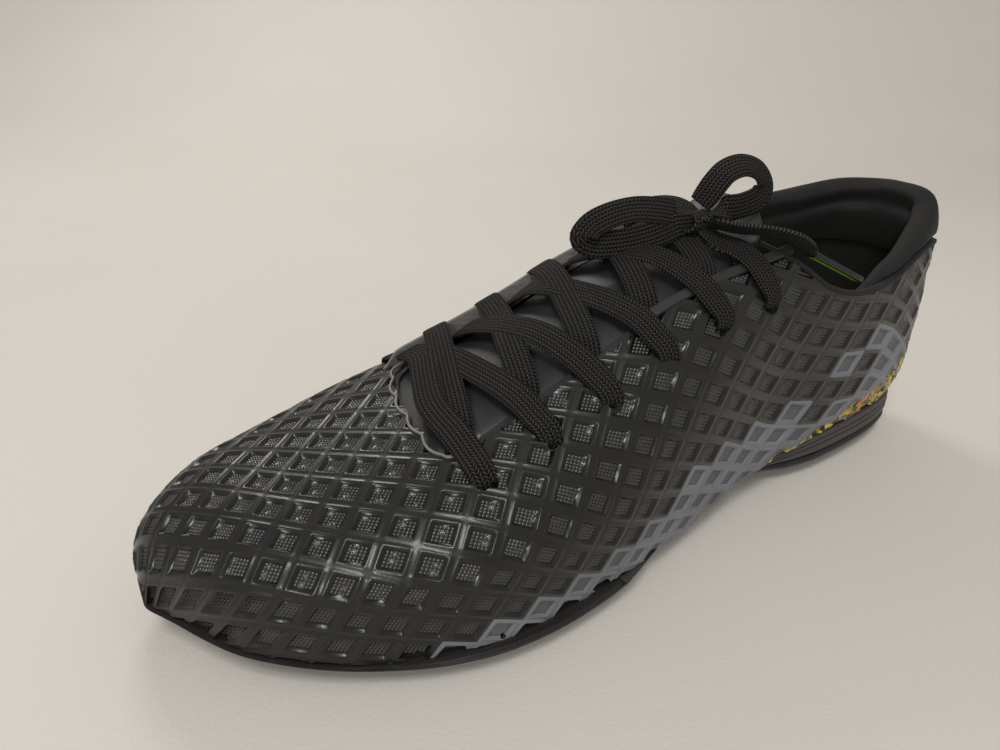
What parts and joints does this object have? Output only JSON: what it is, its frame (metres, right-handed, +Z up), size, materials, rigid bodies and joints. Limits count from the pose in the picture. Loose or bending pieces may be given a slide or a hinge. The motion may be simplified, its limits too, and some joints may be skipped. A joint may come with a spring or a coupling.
{
  "type": "soccer cleat",
  "caption": "Left turf soccer cleat with embossed skin, padded collar, tongue, tied flat laces, grooved heel wedge and a rubber sole with small moulded nubs.",
  "frame": {"origin": "on the floor under the middle of the shoe's box, bow left out", "axes": "+Z up, toe towards -X, heel towards +X, lateral side towards -Y, medial side towards +Y"},
  "size_m": [0.2882, 0.0998, 0.1124],
  "materials": {
    "outsole_rubber": "matte black rubber",
    "midsole_foam": "satin dark grey moulding",
    "insole_foam": "matte lime knit",
    "upper_skin": "semi-gloss black synthetic, embossed",
    "lining": "matte black padded knit",
    "tongue_skin": "satin dark grey synthetic",
    "lace": "matte black flat braid",
    "aglet": "clear film over black braid"
  },
  "bodies": {
    "root": {"outsole": "outsole_rubber", "midsole": "midsole_foam", "insole": "insole_foam", "upper": "upper_skin", "collar_padding": "lining", "tongue": "tongue_skin", "lace_crossings": "lace", "lace_knot": "lace", "lace_loop_forward": "lace", "lace_loop_back": "lace", "lace_end_lateral": "lace", "lace_end_medial": "lace", "aglet_lateral": "aglet", "aglet_medial": "aglet"}
  },
  "joints": []
}
